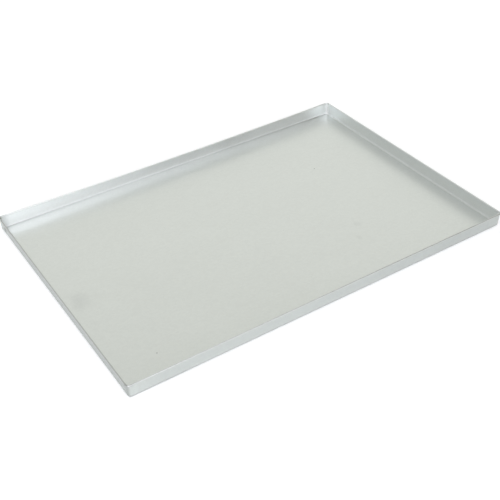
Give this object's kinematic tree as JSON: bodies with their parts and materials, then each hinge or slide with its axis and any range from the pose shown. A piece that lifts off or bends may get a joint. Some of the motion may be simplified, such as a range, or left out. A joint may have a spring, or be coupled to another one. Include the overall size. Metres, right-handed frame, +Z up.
{
  "type": "oil drain pan",
  "caption": "Large shallow rectangular galvanised drip pan with upright walls, lapped and soldered corners and a wired rolled rim, for catching oil under a vehicle.",
  "frame": {"origin": "middle of the flat underside, on the ground that the pan rests on", "axes": "+X along the long side, +Y towards the rear long wall, +Z up out of the open top"},
  "size_m": [0.9144, 0.627, 0.0318],
  "materials": {
    "galvanised_sheet": "satin zinc coat, faint spangle",
    "rim_wire_steel": "drawn zinc-coated wire",
    "tin_solder": "smooth flowed solder, satin"
  },
  "bodies": {
    "root": {"pan_sheet": "galvanised_sheet", "rim_wire": "rim_wire_steel", "corner_solder_front_left": "tin_solder", "corner_solder_front_right": "tin_solder", "corner_solder_rear_left": "tin_solder", "corner_solder_rear_right": "tin_solder"}
  },
  "joints": []
}
